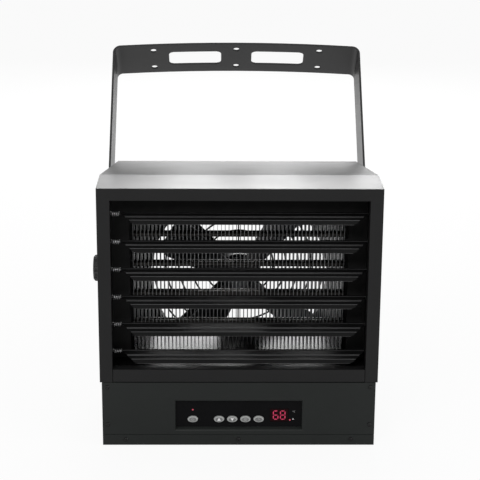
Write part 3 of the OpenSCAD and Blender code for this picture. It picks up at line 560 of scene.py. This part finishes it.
class HEATER_OT_guard(bpy.types.Operator):
    """Finishes the wire guard, its clips and its screws"""

    bl_idname = "heater.guard"
    bl_label = "Guard"
    bl_options = {"REGISTER", "UNDO"}

    def execute(self, context):
        dress("fan_guard", "guard_clips", "guard_screws")
        return {"FINISHED"}


class HEATER_OT_panel(bpy.types.Operator):
    """Rounds the control panel and the display panel and finishes the control board"""

    bl_idname = "heater.panel"
    bl_label = "Control panel"
    bl_options = {"REGISTER", "UNDO"}

    def execute(self, context):
        scene = context.scene
        edged("control_panel", scene.heater_edges.sheet, rim=on_window_rim, lower=slope_window_foot)
        edged("display_panel", scene.heater_edges.small, lower=lower_keys)
        dress("control_board")
        return {"FINISHED"}


def lower_keys(mesh):
    """Draws the keys, or the panel's holes for them, in to the height of the real keys."""
    for node in BUTTONS:
        low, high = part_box(node)
        middle = (low.z + high.z) / 2
        near = [v for v in mesh.verts if low.x <= v.co.x <= high.x and low.z <= v.co.z <= high.z]
        to_middle = Matrix.Translation((0, 0, -middle))
        bmesh.ops.scale(mesh, vec=(1, 1, KEY_HEIGHT), space=to_middle, verts=near)


def slope_window_foot(mesh):
    """Slopes the lower side of the display's window down to the front, as on the pressed panel."""
    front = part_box("control_panel")[0].y
    low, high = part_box("display_panel")
    foot = low.z + PANEL_EDGE
    side = [v for v in mesh.verts if v.co.y < front + FOOT_DEPTH and abs(v.co.x) < high.x
            and foot - FOOT_ROUND < v.co.z < foot + SLACK]
    bmesh.ops.translate(mesh, verts=side, vec=(0, 0, -WINDOW_SLOPE))


def on_window_rim(edge):
    """Whether an edge of the control panel is on the front rim of the display's window."""
    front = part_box("control_panel")[0].y
    low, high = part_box("display_panel")
    return all(abs(v.co.y - front) < SLACK and low.x < v.co.x < high.x and low.z < v.co.z < high.z
               for v in edge.verts)


# Shares of a digit's shape, and the places of the lamps and the mark beside it.
DIGIT_STEP = 0.8  # from digit to digit, of a digit's height
DIGIT_WIDTH = 0.52  # of a digit's height, from upright to upright
FLAT_ROOM = 0.92  # a level segment's room, of half the digit's width
BAR_GAP = 0.55  # taken off a segment's room, of its own width
BAR_REACH = 0.8  # how far each end of a segment is drawn out, of the room that is left
SEGMENT_RISE = 0.1 * MM
LAMP_SPLIT = 2.4 * MM  # the white lamp lies this near to the right end of the row
WHITE_LAMP = 0.6  # of the red lamps' size
WHITE_LAMP_PLACE = Vector((-1.1 * MM, 0, 2.1 * MM))  # from the lower right corner of all the lamps
DEGREE_PLACE = Vector((6.6 * MM, -0.2 * MM, -3.4 * MM))  # from the number's upper right corner
DEGREE_RISE = 0.08  # in millimetres, as every plate's


class HEATER_OT_display(bpy.types.Operator):
    """Builds the two seven-segment digits and the small lamps"""

    bl_idname = "heater.display"
    bl_label = "Display"
    bl_options = {"REGISTER", "UNDO"}

    def execute(self, context):
        dress("digit_display")
        settings = context.scene.heater_display
        tens, ones = divmod(settings.number, 10)
        low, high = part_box("digit_display")
        middle = (low + high) / 2
        step = DIGIT_STEP * settings.digit_height
        for lit_ones, finish in ((True, "lit_segment"), (False, "dark_segment")):
            mesh = bmesh.new()
            for side, digit in ((-1, tens), (1, ones)):
                place = Vector((middle.x + side * step / 2, low.y, middle.z))
                add_digit(mesh, place, digit, lit_ones, settings)
            shade(mesh)
            put(mesh, finish + "s", BODY_OF["digit_display"], finish)
        add_lamps()
        add_degree_mark(Vector((high.x, low.y, high.z)) + DEGREE_PLACE)
        return {"FINISHED"}


def add_lamps():
    """Two red lamps and a smaller white one on the right."""
    low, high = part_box("indicator_leds")
    for name, finish, white in (("red_lamps", "led_lens", False), ("white_lamp", "white_lamp", True)):
        lens = merged("indicator_leds")
        others = [v for v in lens.verts if (v.co.x > high.x - LAMP_SPLIT) != white]
        bmesh.ops.delete(lens, geom=others, context="VERTS")
        if white:
            to_middle = Matrix.Translation(-Vector((high.x, 0, low.z)) - WHITE_LAMP_PLACE)
            bmesh.ops.scale(lens, vec=(WHITE_LAMP, 1, WHITE_LAMP), space=to_middle, verts=lens.verts)
        shade(lens)
        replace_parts(put(lens, name, BODY_OF["indicator_leds"], finish), "indicator_leds")


def add_degree_mark(centre):
    """The small grey degree dot beside the number, with two strokes of the unit's letter."""
    mark = bmesh.new()
    for outline in (oval(0.7, 0.7, 12), bar(1.6, -0.6, 0.3, 1.5), bar(2.3, 0.7, 0.6, 0.25)):
        add_plate(mark, outline, centre, DEGREE_RISE)
    put(mark, "degree_mark", BODY_OF["digit_display"], "key_inlay")


# Segments that are lit for each digit, from the top one clockwise, and the middle one last.
LIT = ["abcdef", "bc", "abged", "abgcd", "fgbc", "afgcd", "afgedc", "abc", "abcdefg", "abcdfg"]


def add_digit(mesh, centre, digit, lit_ones, settings):
    """Adds a digit's lit or unlit segments: six-sided bars with pointed ends."""
    tall = settings.digit_height / 2
    wide = DIGIT_WIDTH * tall
    place = {"a": (0, tall, 0), "d": (0, -tall, 0), "g": (0, 0, 0), "b": (wide, tall / 2, 90),
             "c": (wide, -tall / 2, 90), "f": (-wide, tall / 2, 90), "e": (-wide, -tall / 2, 90)}
    for name, (x, z, turn) in place.items():
        if (name in LIT[digit]) != lit_ones:
            continue
        room = (tall / 2 if turn else FLAT_ROOM * wide) - BAR_GAP * settings.bar_width
        bar_radius = settings.bar_width / 2
        made = bmesh.ops.create_circle(mesh, cap_ends=True, segments=6, radius=bar_radius)["verts"]
        for side in (-1, 1):
            ends = [v for v in made if v.co.x * side > 0]
            bmesh.ops.translate(mesh, verts=ends, vec=(side * BAR_REACH * room, 0, 0))
        turned = Matrix.Rotation(math.radians(turn), 4, "Z")
        bmesh.ops.transform(mesh, matrix=Matrix.Translation((x, z, 0)) @ turned, verts=made)
        slab = bmesh.ops.extrude_face_region(mesh, geom=list(made[0].link_faces))["geom"]
        front = [v for v in slab if isinstance(v, bmesh.types.BMVert)]
        bmesh.ops.translate(mesh, verts=front, vec=(0, 0, SEGMENT_RISE))
        upright = Matrix.Rotation(math.radians(90), 4, "X")
        bmesh.ops.transform(mesh, matrix=Matrix.Translation(centre) @ upright, verts=made + front)
    bmesh.ops.recalc_face_normals(mesh, faces=mesh.faces)


INLAY = (4.9, 2.9)  # half width and half height, in millimetres
INLAY_RISE = 0.05
SIGN_RISE = 0.1  # both from the key's face, so that the sign stands proud of the inlay


class HEATER_OT_buttons(bpy.types.Operator):
    """Rounds the five keys and prints an inlay and a sign on each"""

    bl_idname = "heater.buttons"
    bl_label = "Buttons"
    bl_options = {"REGISTER", "UNDO"}

    def execute(self, context):
        for node, sign in zip(BUTTONS, SIGNS):
            edged(node, context.scene.heater_edges.small, 3, lower=lower_keys)
            low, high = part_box(node)
            centre = Vector(((low.x + high.x) / 2, low.y, (low.z + high.z) / 2))
            inlay = bmesh.new()
            add_plate(inlay, oval(*INLAY), centre, INLAY_RISE)
            put(inlay, f"{node}_inlay", node, "key_inlay")
            mark = bmesh.new()
            for outline in sign:
                add_plate(mark, outline, centre, SIGN_RISE)
            finish = "dim_mark" if node in DIM_SIGNS else "printed_mark"
            put(mark, f"{node}_sign", node, finish)
        return {"FINISHED"}


def oval(wide, tall, points=20):
    """The outline of an oval, in millimetres, from the middle."""
    return [(wide * math.cos(2 * math.pi * k / points), tall * math.sin(2 * math.pi * k / points))
            for k in range(points)]


def bar(x, z, wide, tall):
    """The outline of a rectangle round a place, with half its width and height, in millimetres."""
    return [(x - wide, z - tall), (x + wide, z - tall), (x + wide, z + tall), (x - wide, z + tall)]


# Outlines of each key's sign, in millimetres from the middle of the key.
SIGNS = [
    [bar(0, 1.3, 0.3, 0.8), bar(-1.4, 0.1, 0.28, 1.1), bar(1.4, 0.1, 0.28, 1.1), bar(0, -1.2, 1.1, 0.28)],
    [[(-2.4, -1.8), (2.4, -1.8), (0, 2.3)]],
    [[(0, -2.2), (2.4, 1.9), (-2.4, 1.9)]],
    [bar(0, z, 2.0, 0.26) for z in (1.2, 0, -1.2)],
    [bar(0, 0.7, 0.28, 1.1), bar(0.75, -0.2, 1.0, 0.28)],
]
# The keys whose sign is printed in the keys' own grey.
DIM_SIGNS = ("button_power", "button_mode", "button_timer")


def add_plate(mesh, outline, centre, height):
    """A thin printed plate with an outline in X and Z, standing out to the front of its centre."""
    face = mesh.faces.new([mesh.verts.new(centre + Vector((x * MM, 0, z * MM))) for x, z in outline])
    made = bmesh.ops.extrude_face_region(mesh, geom=[face])["geom"]
    front = [v for v in made if isinstance(v, bmesh.types.BMVert)]
    bmesh.ops.translate(mesh, verts=front, vec=(0, -height * MM, 0))
    bmesh.ops.recalc_face_normals(mesh, faces=mesh.faces)


class HEATER_OT_electrics(bpy.types.Operator):
    """Finishes what the control box holds and the cable inlet"""

    bl_idname = "heater.electrics"
    bl_label = "Electrics"
    bl_options = {"REGISTER", "UNDO"}

    def execute(self, context):
        dress("terminal_block", "contactor", "transformer", "cable_gland", "gland_nut")
        return {"FINISHED"}


class HEATER_OT_bracket(bpy.types.Operator):
    """Rounds and paints the ceiling bracket"""

    bl_idname = "heater.bracket"
    bl_label = "Bracket"
    bl_options = {"REGISTER", "UNDO"}

    def execute(self, context):
        edged("bracket", context.scene.heater_edges.strip, weld=0.3 * MM, shortest=1 * MM)
        dress("friction_washers")
        return {"FINISHED"}


class HEATER_OT_knobs(bpy.types.Operator):
    """Rounds the two hand knobs and finishes their studs"""

    bl_idname = "heater.knobs"
    bl_label = "Knobs"
    bl_options = {"REGISTER", "UNDO"}

    def execute(self, context):
        for node in ("knob_left", "knob_right"):
            edged(node, context.scene.heater_edges.small)
        dress("knob_stud_left", "knob_stud_right")
        return {"FINISHED"}


class HEATER_OT_screws(bpy.types.Operator):
    """Blackens the screws of the control panel, the tray and the sides"""

    bl_idname = "heater.screws"
    bl_label = "Screws"
    bl_options = {"REGISTER", "UNDO"}

    def execute(self, context):
        for node in ("panel_screws", "tray_screws", "side_screws"):
            coat(frame["nodes"][node], "black_screw")
        return {"FINISHED"}


LAMPS_AIM = Vector((0, 0, 0.25))  # the middle of the heater
FLOOR_GREY = 0.82
FLOOR_GLOW = 0.92  # how much of what the camera sees of the floor is plain white


class HEATER_OT_stage(bpy.types.Operator):
    """Makes the floor, the lamps, the world and the camera"""

    bl_idname = "heater.stage"
    bl_label = "Stage"
    bl_options = {"REGISTER", "UNDO"}

    def execute(self, context):
        scene = context.scene
        settings = scene.heater_stage
        add_floor(scene)
        add_world(scene, settings)
        add_lamp("key_lamp", settings.key_power, place=(-1.1, -2.3, 2.1), size=(1.6, 1.2))
        add_lamp("fill_lamp", settings.fill_power, place=(2.2, -1.2, 1.2), size=(1.4, 1.4))
        add_lamp("back_softbox", settings.back_power, place=(0.07, 2.3, 1.2), size=(0.85, 1.0))
        add_camera(scene, settings)
        return {"FINISHED"}


def add_lamp(name, power, place, size):
    """A rectangular lamp that faces the middle of the heater."""
    data = bpy.data.lights.new(name, "AREA")
    data.shape = "RECTANGLE"
    data.size, data.size_y = size
    data.energy = power
    lamp = bpy.data.objects.new(name, data)
    turn = (LAMPS_AIM - Vector(place)).to_track_quat("-Z", "Y")
    lamp.matrix_world = Matrix.Translation(place) @ turn.to_matrix().to_4x4()
    lamp.visible_camera = False
    bpy.context.scene.collection.objects.link(lamp)


def ray_is(nodes, kind):
    """A value of 1 for rays of one kind, Camera, Glossy or Transmission, and of 0 for the rest."""
    return nodes.new("ShaderNodeLightPath").outputs[f"Is {kind} Ray"]


def mixed(nodes, links, share, first, second):
    """Two shaders mixed by a share."""
    mix = nodes.new("ShaderNodeMixShader")
    links.new(share, mix.inputs["Fac"])
    links.new(first, mix.inputs[1])
    links.new(second, mix.inputs[2])
    return mix.outputs[0]


def add_world(scene, settings):
    """White to the eye and through glass, dimmer in reflections, and a soft light elsewhere."""
    world = bpy.data.worlds.new("studio")
    world.use_nodes = True
    nodes, links = world.node_tree.nodes, world.node_tree.links
    made = nodes["Background"]
    made.inputs["Color"].default_value = (1, 1, 1, 1)
    made.inputs["Strength"].default_value = settings.world_level
    out = made.outputs[0]
    for kind, level in (("Glossy", settings.mirror_level), ("Transmission", 1), ("Camera", 1)):
        made = nodes.new("ShaderNodeBackground")
        made.inputs["Color"].default_value = (1, 1, 1, 1)
        made.inputs["Strength"].default_value = level
        out = mixed(nodes, links, ray_is(nodes, kind), out, made.outputs[0])
    links.new(out, nodes["World Output"].inputs["Surface"])
    scene.world = world


def add_floor(scene):
    """A wide pale floor that shows white and keeps a soft shadow."""
    mesh = bmesh.new()
    bmesh.ops.create_grid(mesh, x_segments=4, y_segments=4, size=20)
    data = bpy.data.meshes.new("floor")
    mesh.to_mesh(data)
    mesh.free()
    floor = bpy.data.objects.new("floor", data)
    scene.collection.objects.link(floor)
    material = bpy.data.materials.new("pale_floor")
    material.use_nodes = True
    nodes, links = material.node_tree.nodes, material.node_tree.links
    matt = nodes["Principled BSDF"]
    matt.inputs["Base Color"].default_value = (FLOOR_GREY, FLOOR_GREY, FLOOR_GREY, 1)
    matt.inputs["Roughness"].default_value = 0.9
    glow = nodes.new("ShaderNodeEmission")
    share = nodes.new("ShaderNodeMath")
    share.operation = "MULTIPLY"
    share.inputs[1].default_value = FLOOR_GLOW
    links.new(ray_is(nodes, "Camera"), share.inputs[0])
    out = mixed(nodes, links, share.outputs[0], matt.outputs[0], glow.outputs[0])
    links.new(out, nodes["Material Output"].inputs["Surface"])
    floor.data.materials.append(material)


def add_camera(scene, settings):
    """The camera that sees the heater from the front and a little above."""
    data = bpy.data.cameras.new("camera")
    data.lens = settings.lens
    camera = bpy.data.objects.new("camera", data)
    turn = Matrix.Rotation(-settings.yaw, 4, "Z")
    tilt = Matrix.Rotation(math.pi / 2 - settings.pitch, 4, "X")
    roll = Matrix.Rotation(settings.roll, 4, "Z")
    camera.matrix_world = Matrix.Translation(settings.camera_place) @ turn @ tilt @ roll
    scene.collection.objects.link(camera)
    scene.camera = camera
    scene.view_settings.view_transform = "Standard"


# ---- the add-on ----

GROUPS = (HeaterPaint, HeaterMetal, HeaterDisplay, HeaterEdges, HeaterStage)
SETTINGS = ("heater_paint", "heater_metal", "heater_display", "heater_edges", "heater_stage")
OPERATORS = (
    HEATER_OT_finishes, HEATER_OT_case, HEATER_OT_front, HEATER_OT_louvres, HEATER_OT_element,
    HEATER_OT_fan, HEATER_OT_guard, HEATER_OT_panel, HEATER_OT_display, HEATER_OT_buttons,
    HEATER_OT_electrics, HEATER_OT_bracket, HEATER_OT_knobs, HEATER_OT_screws, HEATER_OT_stage,
)


class HEATER_PT_panel(bpy.types.Panel):
    """Lists the steps and their settings"""

    bl_label = "Fan heater"
    bl_space_type = "VIEW_3D"
    bl_region_type = "UI"
    bl_category = "Heater"

    def draw(self, context):
        layout = self.layout
        for name, group in zip(SETTINGS, GROUPS):
            settings = getattr(context.scene, name)
            for key in group.__annotations__:
                layout.prop(settings, key)
        for operator in OPERATORS:
            layout.operator(operator.bl_idname)


def register():
    """Registers the classes and hangs the settings on the scene."""
    for cls in (*GROUPS, *OPERATORS, HEATER_PT_panel):
        bpy.utils.register_class(cls)
    for name, group in zip(SETTINGS, GROUPS):
        setattr(bpy.types.Scene, name, bpy.props.PointerProperty(type=group))


def unregister():
    """Takes the settings and the classes away again."""
    for name in SETTINGS:
        delattr(bpy.types.Scene, name)
    for cls in reversed((*GROUPS, *OPERATORS, HEATER_PT_panel)):
        bpy.utils.unregister_class(cls)


def main():
    """Builds everything in order."""
    register()
    for operator in OPERATORS:
        category, name = operator.bl_idname.split(".")
        getattr(getattr(bpy.ops, category), name)()


if __name__ == "__main__":
    main()
